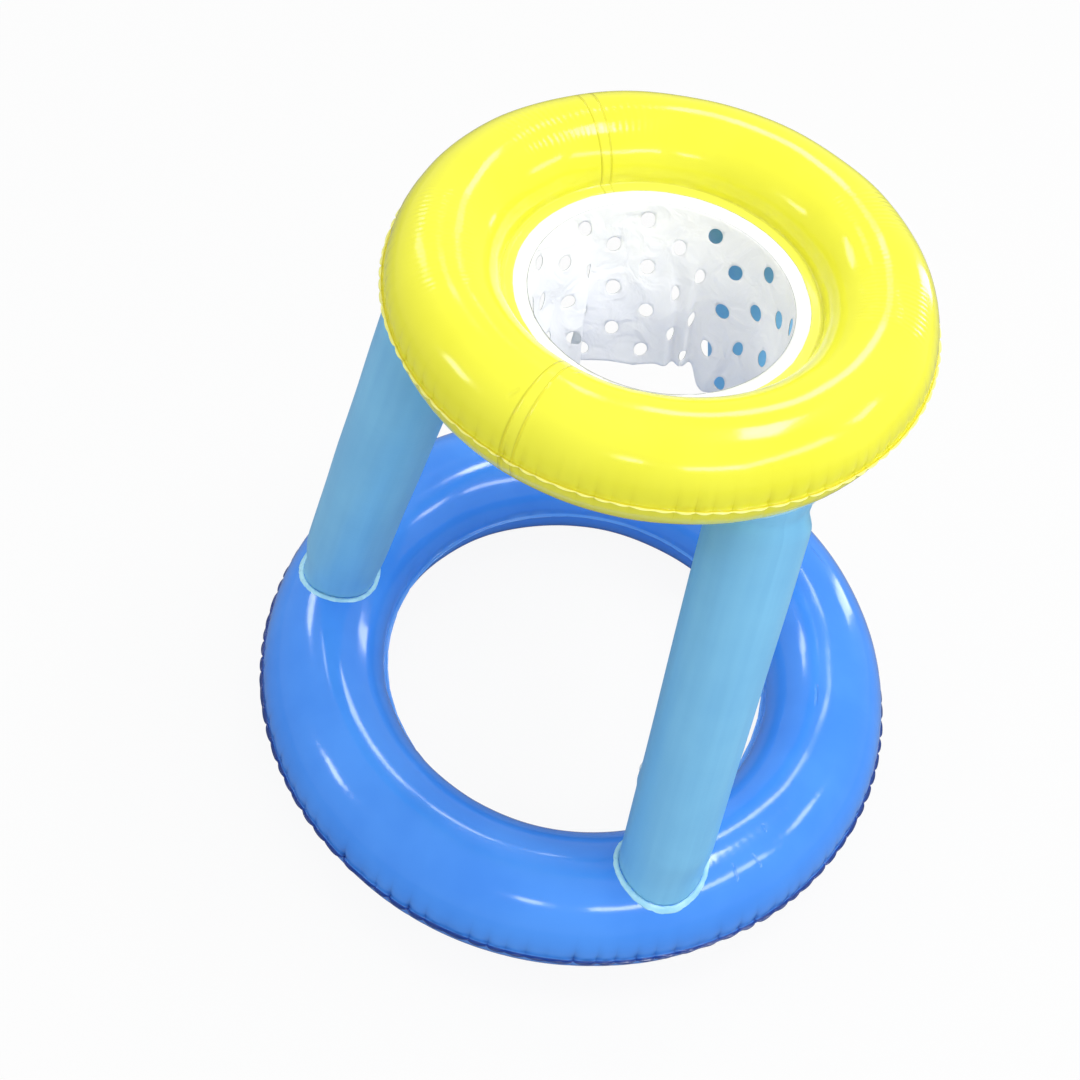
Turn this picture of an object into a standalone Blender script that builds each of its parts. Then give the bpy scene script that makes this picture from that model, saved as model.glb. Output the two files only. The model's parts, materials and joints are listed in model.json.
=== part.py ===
"""Floating basketball hoop: two inflatable rings, three inflatable columns and a punched vinyl net.

Metres, +Z up. The origin lies on the floor, under the centre of the base ring. Each ring is an upper
and a lower skin of thin vinyl, welded along flat seams round its outside and round its hole. Each
column is a sleeve between two saddle discs that are welded to the rings. The column is built once,
with its foot at azimuth zero, and turned to its three places. Every chamber has a push-in valve: a
flange welded to the skin, a stem that is pulled out to blow the chamber up, and a plug on a strap.
"""

import bmesh
import bpy
from math import cos, pi, radians, sin
from mathutils import Matrix, Vector

# Rings
BASE_RADIUS = 0.270         # centre line of the base ring's tube
BASE_TUBE = 0.0635          # radius of that tube
BASE_OUTER_FLANGE = 0.004   # seam flange round the outside of the ring
BASE_INNER_FLANGE = 0.004   # seam flange round its hole
HOOP_RADIUS = 0.176
HOOP_TUBE = 0.046
HOOP_OUTER_FLANGE = 0.0035
HOOP_INNER_FLANGE = 0.010   # wide, because it also carries the net
HOOP_HEIGHT = 0.620         # seam plane of the hoop ring above the floor

# Vinyl and its welds
SKIN = 0.0004
GAP = 0.0003                # left between pieces that are welded face to face

# Columns
COLUMN_TUBE = 0.0415
FOOT_OUTSET = 0.0118        # the feet stand this far outside the centre line of the base ring's tube
FOOT_LIP = 0.0055           # rim of the foot disc outside the sleeve
FOOT_WIDTH_SHARE = 0.91     # the disc is cut round, but laid on the ring it is only this wide across it
FOOT_INSET = 0.0026         # the narrowed foot lies this far inside the column's axis
FOOT_FLARE = 0.050          # the sleeve is round again this far above the ring
HEAD_TUBE = 0.0365          # the sleeve narrows to this where it meets the hoop ring
HEAD_LIP = 0.003
HEAD_SEAT_ANGLE = radians(5)    # the heads are welded this far out from the hoop tube's underside
HEAD_TWIST = radians(11.9)      # the hoop has turned this far round Z against the base
HEAD_ELBOW = 0.018          # the sleeve turns towards its seat within this distance of it
AZIMUTHS = {"left": radians(180), "front": radians(-60), "rear": radians(60)}

# Net
NET_BOTTOM = 0.081          # mean radius at the open lower edge
NET_LENGTH = 0.152
NET_SHEET = 0.0004
NET_HOLE = 0.0068           # radius of a punched hole
NET_SWAY = 0.013            # how far the lower edge hangs to one side
NET_SWAY_AZIMUTH = radians(-41)
NET_OVAL = 0.008            # the lower edge is this much longer along X, and shorter along Y
NET_FOLD = 0.006            # depth of the folds at the lower edge
NET_FOLD_COUNT = 5
NET_RAGGED = 0.008          # how far the lower edge wanders up and down
COLLAR_REACH = 0.011        # flat band inside the hoop's inner flange
COLLAR_SLOPE = 0.002        # the band falls this much on its way inwards
COLLAR_DEPTH = 0.004        # its turned-down edge, to which the net is welded
COLLAR_SHEET = 0.0008

# Valves
VALVE_BORE = 0.0033
VALVE_STEM = 0.0055
VALVE_LIP = 0.0068          # rim of the stem, on which the plug rests
VALVE_LIP_THICK = 0.0010
VALVE_DEPTH = 0.0120        # how far the stem reaches below the skin when it is pushed in
VALVE_COLLAR = 0.0066       # ridge at the stem's inner end that keeps it from coming out
VALVE_COLLAR_THICK = 0.0012
VALVE_FLANGE = 0.0100
VALVE_FLANGE_THICK = 0.0008
PLUG_CAP = 0.0050
PLUG_CAP_THICK = 0.0016
PLUG_PIN = 0.0026
PLUG_TIP = 0.0021
PLUG_PIN_LENGTH = 0.0032
STRAP_WIDTH = 0.0030
STRAP_THICK = 0.0007
STRAP_INSET = 0.0003        # the strap leaves the cap this far above its underside
TAB_REACH = 0.0040          # pull tab beyond the cap
TAB_ROUND = 0.0010
COLUMN_VALVE_HEIGHT = 0.170     # along the sleeve's axis, from the base ring's seam

# The valves' places: facets counted round a ring or a sleeve, and round a ring's half section
BASE_VALVE_FACET = 10
HOOP_VALVE_FACET = 0
RING_VALVE_FACET_COUNT = 2  # facets of the half section between its weld and the valve's facet
COLUMN_VALVE_FACET = 14

# Facets
SECTION_STEPS = 9           # of a ring's half section, so that the lowest facet lies flat
BASE_STEPS = 48
HOOP_STEPS = 36
COLUMN_SIDES = 24
BEND_STEPS = 4
VALVE_SIDES = 12
NET_COLUMNS = 11            # holes in a row
NET_ROWS = 6
HOLE_SIDES = 6
SMOOTH_ANGLE = radians(32)  # facets that meet at less than this are shaded as one round face

# Cuts run past what they cut by this much, and points closer than the other value are one point
OVERRUN = 0.004
MERGE = 0.00001

# Worked out from the sizes above
SEAM = SKIN + GAP / 2                           # a skin's flange surface above the seam plane
APOTHEM = cos(pi / (2 * SECTION_STEPS))         # of a section with a radius of 1
BASE_SEAM = BASE_TUBE * APOTHEM + SEAM          # height of the base ring's seam plane
FLANGE_TOP = GAP + VALVE_FLANGE_THICK
LIP_TOP = FLANGE_TOP + GAP + VALVE_LIP_THICK
MOUTH_RADIUS = HOOP_RADIUS - HOOP_TUBE - HOOP_INNER_FLANGE
COLLAR_RADIUS = MOUTH_RADIUS - COLLAR_REACH
COLLAR_TOP = HOOP_HEIGHT - SEAM - GAP
NET_RIM = COLLAR_TOP - COLLAR_SLOPE - COLLAR_SHEET      # height of the net's upper edge
NET_TOP = COLLAR_RADIUS - GAP / cos(pi / (2 * NET_COLUMNS))     # the sheet is welded inside the collar

PALETTE = {
    "base_blue": ((0.050, 0.240, 0.860), 0.24),
    "hoop_yellow": ((0.900, 0.840, 0.060), 0.24),
    "column_blue": ((0.170, 0.480, 0.760), 0.32),
    "net_white": ((0.820, 0.840, 0.900), 0.45),
    "valve_clear": ((0.720, 0.820, 0.880), 0.35),
}


def new_collection(name):
    collection = bpy.data.collections.new(name)
    bpy.context.scene.collection.children.link(collection)
    return collection


def new_material(name):
    """Plain soft vinyl in one of the palette's colours."""
    colour, roughness = PALETTE[name]
    material = bpy.data.materials.new(name)
    material.use_nodes = True
    shader = material.node_tree.nodes["Principled BSDF"]
    shader.inputs["Base Color"].default_value = (*colour, 1)
    shader.inputs["Roughness"].default_value = roughness
    shader.inputs["Metallic"].default_value = 0
    material.diffuse_color = (*colour, 1)
    return material


def place(name, mesh, material, matrix=None, parent=None):
    """A finished node: a mesh, its material and where it stands under its parent."""
    item = bpy.data.objects.new(name, mesh)
    parts.objects.link(item)
    if not mesh.materials:
        mesh.materials.append(materials[material])
    item.parent = parent
    item.matrix_local = matrix or Matrix()
    return item


def frame_marker(name, matrix):
    """An empty that carries the pieces of one valve."""
    marker = bpy.data.objects.new(name, None)
    marker.empty_display_size = VALVE_FLANGE
    parts.objects.link(marker)
    marker.matrix_world = matrix
    return marker


def hide_tool(item):
    """Mark an object as a cutter or a guide, which is no part of the model."""
    cutters.objects.link(item)
    item.hide_render = True
    item.display_type = "WIRE"
    return item


def turned(name, outline, steps, closed=False):
    """An object that turns an outline of (radius, height) points once about Z."""
    mesh = bpy.data.meshes.new(name)
    edges = [(k, k + 1) for k in range(len(outline) - 1)]
    if closed:
        edges.append((len(outline) - 1, 0))
    mesh.from_pydata([(x, 0, z) for x, z in outline], edges, [])
    item = bpy.data.objects.new(name, mesh)
    screw = item.modifiers.new("turn", "SCREW")
    screw.steps = screw.render_steps = steps
    screw.use_merge_vertices = True
    screw.merge_threshold = MERGE
    screw.use_smooth_shade = False
    return item


def thicken(item, thickness, side):
    """Give an open surface its thickness: side -1 lays it behind the surface, +1 in front."""
    shell = item.modifiers.new("sheet", "SOLIDIFY")
    shell.thickness = thickness
    shell.offset = side
    shell.use_even_offset = True
    return item


def combine(item, tool, operation):
    boolean = item.modifiers.new(operation.lower(), "BOOLEAN")
    boolean.operation = operation
    boolean.solver = "EXACT"
    boolean.object = tool
    return item


def finished_mesh(item, name):
    """The mesh of an object with its modifiers carried out, shaded smooth on its round sides."""
    if not item.users_collection:
        hide_tool(item)
    bpy.context.view_layer.update()
    graph = bpy.context.evaluated_depsgraph_get()
    mesh = bpy.data.meshes.new_from_object(item.evaluated_get(graph))
    mesh.name = name
    mesh.shade_smooth()
    mesh.set_sharp_from_angle(angle=SMOOTH_ANGLE)
    bpy.data.objects.remove(item)
    return mesh


def cylinder(name, radius, low, high, sides, frame):
    """A cutter that stands on a frame's XY plane, between two heights."""
    mesh = bpy.data.meshes.new(name)
    shape = bmesh.new()
    middle = Matrix.Translation((0, 0, (low + high) / 2))
    bmesh.ops.create_cone(shape, cap_ends=True, segments=sides, radius1=radius, radius2=radius,
                          depth=high - low, matrix=middle)
    shape.to_mesh(mesh)
    shape.free()
    item = hide_tool(bpy.data.objects.new(name, mesh))
    item.matrix_world = frame
    return item


def upright_frame(origin, direction):
    """A frame whose Z runs along a direction and whose X points outwards, square to the Y axis."""
    across = Vector((0, 1, 0)).cross(direction).normalized()
    turn = Matrix((across, direction.cross(across), direction)).transposed()
    return Matrix.Translation(origin) @ turn.to_4x4()


def half_section(radius, tube, upper, outer_flange=0, inner_flange=0):
    """Outline of a ring's upper or lower skin, seen from the seam plane, without its thickness."""
    points = [(radius - tube - inner_flange, SEAM)] if inner_flange else []
    for k in range(SECTION_STEPS + 1):
        angle = pi - k * pi / SECTION_STEPS
        points.append((radius + tube * cos(angle), SEAM + tube * sin(angle)))
    if outer_flange:
        points.append((radius + tube + outer_flange, SEAM))
    if upper:
        return points
    return [(x, -z) for x, z in reversed(points)]


def grown(tube, distance):
    """Radius of a section whose facets lie a distance outside those of another."""
    return tube + distance / APOTHEM


def ring_skin(name, radius, tube, steps, height, upper, flanges, hole_frame):
    """One half of an inflated ring, with a round hole for its valve's stem if it carries one."""
    outline = half_section(radius, tube, upper, *flanges)
    skin = thicken(turned(name, outline, steps), SKIN, -1)
    skin.location.z = height
    if hole_frame:
        cutter = cylinder(name + "_valve_hole", VALVE_STEM + GAP, -OVERRUN, OVERRUN, VALVE_SIDES, hole_frame)
        combine(skin, cutter, "DIFFERENCE")
    return finished_mesh(skin, name)


def ring_tool(name, radius, tube, steps, height):
    """A closed ring, a little larger than the real one, that cuts what is welded to it."""
    whole = half_section(radius, tube, True) + half_section(radius, tube, False)
    tool = hide_tool(turned(name, whole, steps, closed=True))
    tool.location.z = height
    return tool


def saddle_disc(name, radius, tube, steps, height, upper, frame, size):
    """A disc of vinyl that lies on a ring's skin, cut round a frame's Z axis."""
    outline = half_section(radius, grown(tube, GAP), upper)
    disc = thicken(turned(name, outline, steps), SKIN, 1)
    disc.location.z = height
    combine(disc, cylinder(name + "_edge", size, 0, tube + OVERRUN, COLUMN_SIDES, frame), "INTERSECT")
    return finished_mesh(disc, name)


def ring_facet(radius, tube, steps, height, upper, facet, section_facet):
    """Frame on the middle of one facet of a ring's skin, with Z along its normal."""
    outline = half_section(radius, tube, upper)
    (x0, z0), (x1, z1) = outline[section_facet], outline[section_facet + 1]
    narrow = cos(pi / steps)
    middle = Vector(((x0 + x1) / 2 * narrow, 0, height + (z0 + z1) / 2))
    along = Vector(((x1 - x0) * narrow, 0, z1 - z0)).normalized()
    normal = Vector((-along.z, 0, along.x))
    azimuth = (facet + 0.5) * 2 * pi / steps
    return Matrix.Rotation(azimuth, 4, "Z") @ upright_frame(middle, normal)


def column_sections():
    """Sections of a column at azimuth zero, from its foot to its head: frame and radius."""
    start = elbow - lean * HEAD_ELBOW
    on_ring = Matrix.Translation(lean * BASE_TUBE) @ foot_frame
    round_again = upright_frame(foot_centre + lean * (BASE_TUBE + FOOT_FLARE), lean)
    sections = [(foot_frame, COLUMN_TUBE), (on_ring, COLUMN_TUBE), (round_again, COLUMN_TUBE),
                (upright_frame(start, lean), COLUMN_TUBE)]
    for k in range(1, BEND_STEPS + 1):
        t = k / BEND_STEPS
        centre = start * (1 - t) ** 2 + elbow * 2 * t * (1 - t) + head_seat * t ** 2
        direction = ((elbow - start) * (1 - t) + (head_seat - elbow) * t).normalized()
        radius = COLUMN_TUBE + (HEAD_TUBE - COLUMN_TUBE) * t ** 4
        sections.append((upright_frame(centre, direction), radius))
    sections.append((upright_frame(head_centre, -head_out), HEAD_TUBE))
    return sections


def loft(name, sections, sides):
    """An open tube through sections that are bridged in turn: circles on frames."""
    shape = bmesh.new()
    loops = []
    for frame, radius in sections:
        circle = bmesh.ops.create_circle(shape, segments=sides, radius=radius, matrix=frame)
        loops.append(list({edge for vert in circle["verts"] for edge in vert.link_edges}))
    for lower, upper in zip(loops, loops[1:]):
        bmesh.ops.bridge_loops(shape, edges=lower + upper)
    bmesh.ops.recalc_face_normals(shape, faces=shape.faces)
    mesh = bpy.data.meshes.new(name)
    shape.to_mesh(mesh)
    shape.free()
    return bpy.data.objects.new(name, mesh)


def column_sleeve(name, valve_frame):
    """The wall of a column, cut to stand on its foot disc and to meet its head disc."""
    sleeve = thicken(loft(name, column_sections(), COLUMN_SIDES), SKIN, -1)
    stack = 2 * GAP + SKIN
    foot_tool = ring_tool(name + "_foot", BASE_RADIUS, grown(BASE_TUBE, stack), BASE_STEPS, BASE_SEAM)
    head_tool = ring_tool(name + "_head", HOOP_RADIUS, grown(HOOP_TUBE, stack), HOOP_STEPS, HOOP_HEIGHT)
    hole = cylinder(name + "_valve_hole", VALVE_STEM + GAP, -OVERRUN, OVERRUN, VALVE_SIDES, valve_frame)
    for tool in (foot_tool, head_tool, hole):
        combine(sleeve, tool, "DIFFERENCE")
    return finished_mesh(sleeve, name)


def net_point(turn, drop):
    """Point of the net's sheet, a share of the way round and a share of the way down."""
    angle = 2 * pi * turn
    aside = cos(angle - NET_SWAY_AZIMUTH)
    spread = NET_SWAY * aside + NET_OVAL * cos(2 * angle) + NET_FOLD * sin(NET_FOLD_COUNT * angle)
    radius = NET_TOP + (NET_BOTTOM - NET_TOP + spread) * drop
    height = NET_RIM - (NET_LENGTH + NET_RAGGED * aside) * drop
    return Vector((radius * cos(angle), radius * sin(angle), height))


def net_sheet(name):
    """A hanging tube of sheet. Its cells are staggered like bricks and each has a round hole."""
    shape = bmesh.new()
    across = 2 * NET_COLUMNS
    lattice = []
    for row in range(NET_ROWS + 1):
        lattice.append([shape.verts.new(net_point(i / across, row / NET_ROWS)) for i in range(across)])
    for row in range(NET_ROWS):
        middle = (row + 0.5) / NET_ROWS
        upper, lower = lattice[row], lattice[row + 1]
        for column in range(NET_COLUMNS):
            first = 2 * column + row % 2
            i, j, k = first, (first + 1) % across, (first + 2) % across
            cell = [upper[i], lower[i], lower[j], lower[k], upper[k], upper[j]]
            rim = []
            for side in range(HOLE_SIDES):
                angle = 2 * pi * (side + 0.5) / HOLE_SIDES + pi / 2
                turn = (first + 1) / across + NET_HOLE * cos(angle) / (2 * pi * NET_TOP)
                rim.append(shape.verts.new(net_point(turn, middle - NET_HOLE * sin(angle) / NET_LENGTH)))
            for side in range(HOLE_SIDES):
                after = (side + 1) % HOLE_SIDES
                shape.faces.new((cell[side], cell[after], rim[after], rim[side]))
    mesh = bpy.data.meshes.new(name)
    shape.to_mesh(mesh)
    shape.free()
    return finished_mesh(thicken(bpy.data.objects.new(name, mesh), NET_SHEET, -1), name)


def net_collar(name):
    """The band that is welded under the hoop's inner flange and carries the net."""
    edge = (HOOP_RADIUS - HOOP_TUBE) * cos(pi / HOOP_STEPS) - GAP
    brink = COLLAR_TOP - COLLAR_SLOPE
    outline = [(edge, COLLAR_TOP), (MOUTH_RADIUS, COLLAR_TOP), (COLLAR_RADIUS, brink),
               (COLLAR_RADIUS, brink - COLLAR_DEPTH)]
    band = thicken(turned(name, outline, 2 * NET_COLUMNS), COLLAR_SHEET, 1)
    return finished_mesh(band, name)


def valve_flange(name):
    bore = VALVE_STEM + GAP
    outline = [(bore, FLANGE_TOP), (VALVE_FLANGE, FLANGE_TOP), (VALVE_FLANGE, GAP), (bore, GAP)]
    return finished_mesh(turned(name, outline, VALVE_SIDES, closed=True), name)


def valve_stem(name):
    """A soft tube with a rim outside the skin and a retaining ridge inside it."""
    under_lip = LIP_TOP - VALVE_LIP_THICK
    ridge = VALVE_COLLAR_THICK - VALVE_DEPTH
    outline = [(VALVE_BORE, LIP_TOP), (VALVE_LIP, LIP_TOP), (VALVE_LIP, under_lip), (VALVE_STEM, under_lip),
               (VALVE_STEM, ridge), (VALVE_COLLAR, ridge), (VALVE_COLLAR, -VALVE_DEPTH),
               (VALVE_BORE, -VALVE_DEPTH)]
    return finished_mesh(turned(name, outline, VALVE_SIDES, closed=True), name)


def valve_plug(name):
    """A cap with a short pin, a strap to the hinge and a pull tab. Its origin is the hinge."""
    outline = [(0, GAP + PLUG_CAP_THICK), (PLUG_CAP, GAP + PLUG_CAP_THICK), (PLUG_CAP, GAP),
               (PLUG_PIN, GAP), (PLUG_TIP, GAP - PLUG_PIN_LENGTH), (0, GAP - PLUG_PIN_LENGTH)]
    cap = turned(name, outline, VALVE_SIDES)
    cap.location.x = VALVE_LIP
    strap_length = VALVE_LIP + PLUG_CAP + TAB_REACH
    mesh = bpy.data.meshes.new(name + "_strap")
    shape = bmesh.new()
    bmesh.ops.create_cube(shape, size=1)
    bmesh.ops.scale(shape, vec=(strap_length, STRAP_WIDTH, STRAP_THICK), verts=shape.verts)
    centre = (strap_length / 2, 0, GAP + STRAP_INSET + STRAP_THICK / 2)
    bmesh.ops.translate(shape, vec=centre, verts=shape.verts)
    corners = [edge for edge in shape.edges
               if all(vert.co.x > strap_length / 2 for vert in edge.verts)
               and edge.verts[0].co.z != edge.verts[1].co.z]
    bmesh.ops.bevel(shape, geom=corners, offset=TAB_ROUND, segments=2, profile=0.5, affect="EDGES")
    shape.to_mesh(mesh)
    shape.free()
    combine(cap, hide_tool(bpy.data.objects.new(name + "_strap", mesh)), "UNION")
    mesh = finished_mesh(cap, name)
    mesh.transform(Matrix.Translation((VALVE_LIP, 0, 0)))
    return mesh


def add_valve(name, frame):
    """The three pieces of a valve on a frame: the plug hangs on the stem, which slides along Z."""
    marker = frame_marker(name + "_valve_frame", frame)
    place(name + "_valve_flange", flange_mesh, "valve_clear", parent=marker)
    stem = place(name + "_valve_stem", stem_mesh, "valve_clear", parent=marker)
    hinge = Matrix.Translation((-VALVE_LIP, 0, LIP_TOP))
    place(name + "_valve_plug", plug_mesh, "valve_clear", hinge, stem)


for item in list(bpy.data.objects):
    bpy.data.objects.remove(item)
parts = new_collection("floating_basketball_hoop")
cutters = new_collection("cutters")
materials = {name: new_material(name) for name in PALETTE}

# Where a column whose foot stands at azimuth zero meets the rings: its head has turned with the hoop
twist = Matrix.Rotation(HEAD_TWIST, 3, "Z")
head_out = twist @ Vector((sin(HEAD_SEAT_ANGLE), 0, -cos(HEAD_SEAT_ANGLE)))
head_centre = twist @ Vector((HOOP_RADIUS, 0, HOOP_HEIGHT - SEAM))
head_seat = head_centre + head_out * HOOP_TUBE
elbow = head_seat + head_out * HEAD_ELBOW
foot_centre = Vector((BASE_RADIUS + FOOT_OUTSET, 0, BASE_SEAM + SEAM))
lean = (elbow - foot_centre).normalized()
foot_frame = (upright_frame(foot_centre, lean) @ Matrix.Translation((-FOOT_INSET, 0, 0))
              @ Matrix.Diagonal((FOOT_WIDTH_SHARE, 1, 1, 1)))

# Where the valves sit: facets of the rings, and a facet of each sleeve that looks inwards
base_ring = (BASE_RADIUS, BASE_TUBE, BASE_STEPS, BASE_SEAM)
hoop_ring = (HOOP_RADIUS, HOOP_TUBE, HOOP_STEPS, HOOP_HEIGHT)
base_flanges = (BASE_OUTER_FLANGE, BASE_INNER_FLANGE)
hoop_flanges = (HOOP_OUTER_FLANGE, HOOP_INNER_FLANGE)
base_valve = ring_facet(*base_ring, upper=True, facet=BASE_VALVE_FACET,
                        section_facet=RING_VALVE_FACET_COUNT)
hoop_valve = ring_facet(*hoop_ring, upper=False, facet=HOOP_VALVE_FACET,
                        section_facet=RING_VALVE_FACET_COUNT)
facet_turn = (COLUMN_VALVE_FACET + 0.5) * 2 * pi / COLUMN_SIDES
column_valve = (upright_frame(foot_centre + lean * COLUMN_VALVE_HEIGHT, lean)
                @ Matrix.Rotation(facet_turn, 4, "Z")
                @ Matrix.Translation((COLUMN_TUBE * cos(pi / COLUMN_SIDES), 0, 0))
                @ Matrix.Rotation(pi / 2, 4, "Y"))

# Rings
for name, ring, flanges, material, frames in (
        ("base_ring", base_ring, base_flanges, "base_blue", (base_valve, None)),
        ("hoop_ring", hoop_ring, hoop_flanges, "hoop_yellow", (None, hoop_valve))):
    for half, upper, frame in zip(("upper", "lower"), (True, False), frames):
        node = name + "_" + half + "_skin"
        skin_mesh = ring_skin(node, *ring, upper, flanges, frame)
        place(node, skin_mesh, material, Matrix.Translation((0, 0, ring[3])))

# Columns
sleeve_mesh = column_sleeve("column_sleeve", column_valve)
head_frame = upright_frame(head_centre, head_out)
foot_mesh = saddle_disc("foot_disc", *base_ring, True, foot_frame, COLUMN_TUBE + FOOT_LIP)
head_mesh = saddle_disc("head_disc", *hoop_ring, False, head_frame, HEAD_TUBE + HEAD_LIP)
for side, azimuth in AZIMUTHS.items():
    turn = Matrix.Rotation(azimuth, 4, "Z")
    place("column_sleeve_" + side, sleeve_mesh, "column_blue", turn)
    place("foot_disc_" + side, foot_mesh, "column_blue", turn @ Matrix.Translation((0, 0, BASE_SEAM)))
    place("head_disc_" + side, head_mesh, "column_blue", turn @ Matrix.Translation((0, 0, HOOP_HEIGHT)))

# Net
place("net_collar", net_collar("net_collar"), "net_white")
place("net", net_sheet("net"), "net_white")

# Valves
flange_mesh = valve_flange("valve_flange")
stem_mesh = valve_stem("valve_stem")
plug_mesh = valve_plug("valve_plug")
add_valve("base", base_valve)
add_valve("hoop", hoop_valve)
for side, azimuth in AZIMUTHS.items():
    add_valve(side, Matrix.Rotation(azimuth, 4, "Z") @ column_valve)
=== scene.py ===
import bmesh
import bpy
import json
from math import atan2, cos, degrees, exp, hypot, pi, radians, sin, sqrt
from mathutils import Euler, Matrix, Vector, noise


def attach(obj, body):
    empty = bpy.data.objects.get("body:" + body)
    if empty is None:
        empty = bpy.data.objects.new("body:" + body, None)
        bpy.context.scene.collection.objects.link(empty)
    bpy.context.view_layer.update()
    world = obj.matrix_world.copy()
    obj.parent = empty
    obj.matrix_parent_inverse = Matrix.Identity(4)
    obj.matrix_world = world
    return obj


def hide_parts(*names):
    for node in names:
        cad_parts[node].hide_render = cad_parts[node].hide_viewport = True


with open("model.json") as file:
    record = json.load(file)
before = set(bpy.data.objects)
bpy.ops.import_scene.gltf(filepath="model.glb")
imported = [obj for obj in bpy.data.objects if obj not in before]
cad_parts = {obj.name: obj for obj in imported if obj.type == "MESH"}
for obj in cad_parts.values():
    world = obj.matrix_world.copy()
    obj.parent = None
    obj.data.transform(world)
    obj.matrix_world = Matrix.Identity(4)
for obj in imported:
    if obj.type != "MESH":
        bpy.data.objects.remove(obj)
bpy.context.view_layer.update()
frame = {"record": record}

# The camera stands where the photographer did: above and in front of the hoop, tilted a little
# to one side, with a slightly long lens.
camera = bpy.data.objects.new("camera", bpy.data.cameras.new("camera"))
bpy.context.scene.collection.objects.link(camera)
camera.location = (0.06048, -0.91701, 1.46846)
camera.rotation_euler = Euler((radians(37.007), radians(-6.069), radians(15.617)))
camera.data.sensor_width = 36
camera.data.lens = 51.515
bpy.context.scene.camera = camera

# The studio: a pale floor that keeps a faint shadow, a white surround that gives most of the light,
# and ten soft lamps all round the object, where its highlights say that they stood.
class Wire:
    """A socket of a node tree. Sums and products of wires add Math nodes to the tree."""

    def __init__(self, tree, socket=None):
        self.tree = tree
        self.socket = socket

    def node(self, kind, settings=None, inputs=None, output=0):
        item = self.tree.nodes.new(kind)
        for name, value in (settings or {}).items():
            setattr(item, name, value)
        for key, value in (inputs or {}).items():
            if isinstance(value, Wire):
                self.tree.links.new(value.socket, item.inputs[key])
            else:
                item.inputs[key].default_value = value
        return Wire(self.tree, item.outputs[output])

    def math(self, operation, *others, clamp=False):
        values = dict(enumerate((self, *others)))
        return self.node("ShaderNodeMath", {"operation": operation, "use_clamp": clamp}, values)

    def __add__(self, other):
        return self.math("ADD", other)

    def __sub__(self, other):
        return self.math("SUBTRACT", other)

    def __mul__(self, other):
        return self.math("MULTIPLY", other)

    def __rsub__(self, other):
        return self.node("ShaderNodeMath", {"operation": "SUBTRACT"}, {0: other, 1: self})

    __radd__ = __add__
    __rmul__ = __mul__

    def rise(self, low, high):
        """A smooth step from 0 at low to 1 at high."""
        limits = {"Value": self, "From Min": low, "From Max": high}
        return self.node("ShaderNodeMapRange", {"interpolation_type": "SMOOTHSTEP"}, limits)

    def between(self, low, high, soft):
        """1 from low to high and 0 elsewhere, with soft borders."""
        return self.rise(low - soft, low + soft) * (1 - self.rise(high - soft, high + soft))

    def blend(self, first, second):
        """First colour where this is 0, second where it is 1."""
        return self.node("ShaderNodeMix", {"data_type": "RGBA"}, {0: self, 6: first, 7: second}, 2)


def new_tree(name):
    """A new material and the wire from which its nodes are made."""
    material = bpy.data.materials.new(name)
    material.use_nodes = True
    material.node_tree.nodes.remove(material.node_tree.nodes["Principled BSDF"])
    return material, Wire(material.node_tree)


def to_surface(material, wire):
    material.node_tree.links.new(wire.socket, material.node_tree.nodes["Material Output"].inputs[0])
    return material


FLOOR_COLOUR = (0.64, 0.64, 0.64, 1)
FLOOR_IN_GLOSS = (0.25, 0.26, 0.28, 1)      # its colour where the vinyl mirrors it
FLOOR_WHITE_SHARE = 0.92                    # of what the camera sees of it, the rest is lit and shaded
FLOOR_HALF_SIDE = 4
FLOOR_DROP = 0.001                          # the blown-up tube sags a little past the CAD's rest plane
floor_material, wire = new_tree("pale_floor")
seen, mirrored = [wire.node("ShaderNodeLightPath", output=k) for k in (0, 3)]
shaded = wire.node("ShaderNodeBsdfDiffuse", inputs={"Color": mirrored.blend(FLOOR_COLOUR, FLOOR_IN_GLOSS)})
bright = wire.node("ShaderNodeEmission", inputs={"Color": (1, 1, 1, 1), "Strength": 1})
whitened = wire.node("ShaderNodeMixShader", inputs={0: seen * FLOOR_WHITE_SHARE, 1: shaded, 2: bright})
to_surface(floor_material, whitened)
shape = bmesh.new()
bmesh.ops.create_grid(shape, x_segments=1, y_segments=1, size=FLOOR_HALF_SIDE)
floor_mesh = bpy.data.meshes.new("floor")
shape.to_mesh(floor_mesh)
shape.free()
floor_mesh.transform(Matrix.Translation((0, 0, -FLOOR_DROP)))
floor = bpy.data.objects.new("floor", floor_mesh)
floor_mesh.materials.append(floor_material)
bpy.context.scene.collection.objects.link(floor)

SKY_AT_HORIZON, SKY_GAIN_UPWARDS, SKY_IN_GLOSS = 0.56, 0.40, 0.50
world = bpy.data.worlds.new("surround")
world.use_nodes = True
bpy.context.scene.world = world
wire = Wire(world.node_tree)
seen, mirrored = [wire.node("ShaderNodeLightPath", output=k) for k in (0, 3)]
direction = wire.node("ShaderNodeTexCoord")
height = wire.node("ShaderNodeSeparateXYZ", inputs={0: direction}, output=2).math("MAXIMUM", 0)
strength = (height * SKY_GAIN_UPWARDS + SKY_AT_HORIZON) * (1 - mirrored) + mirrored * SKY_IN_GLOSS
light = wire.node("ShaderNodeBackground", inputs={"Color": (0.97, 0.98, 1.0, 1), "Strength": strength})
white = wire.node("ShaderNodeBackground", inputs={"Color": (1, 1, 1, 1), "Strength": 1})
chosen = wire.node("ShaderNodeMixShader", inputs={0: seen, 1: light, 2: white})
world.node_tree.links.new(chosen.socket, world.node_tree.nodes["World Output"].inputs[0])


LAMP_DISTANCE = 2.2
LAMP_TARGET = Vector((0, 0, 0.4))


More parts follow.
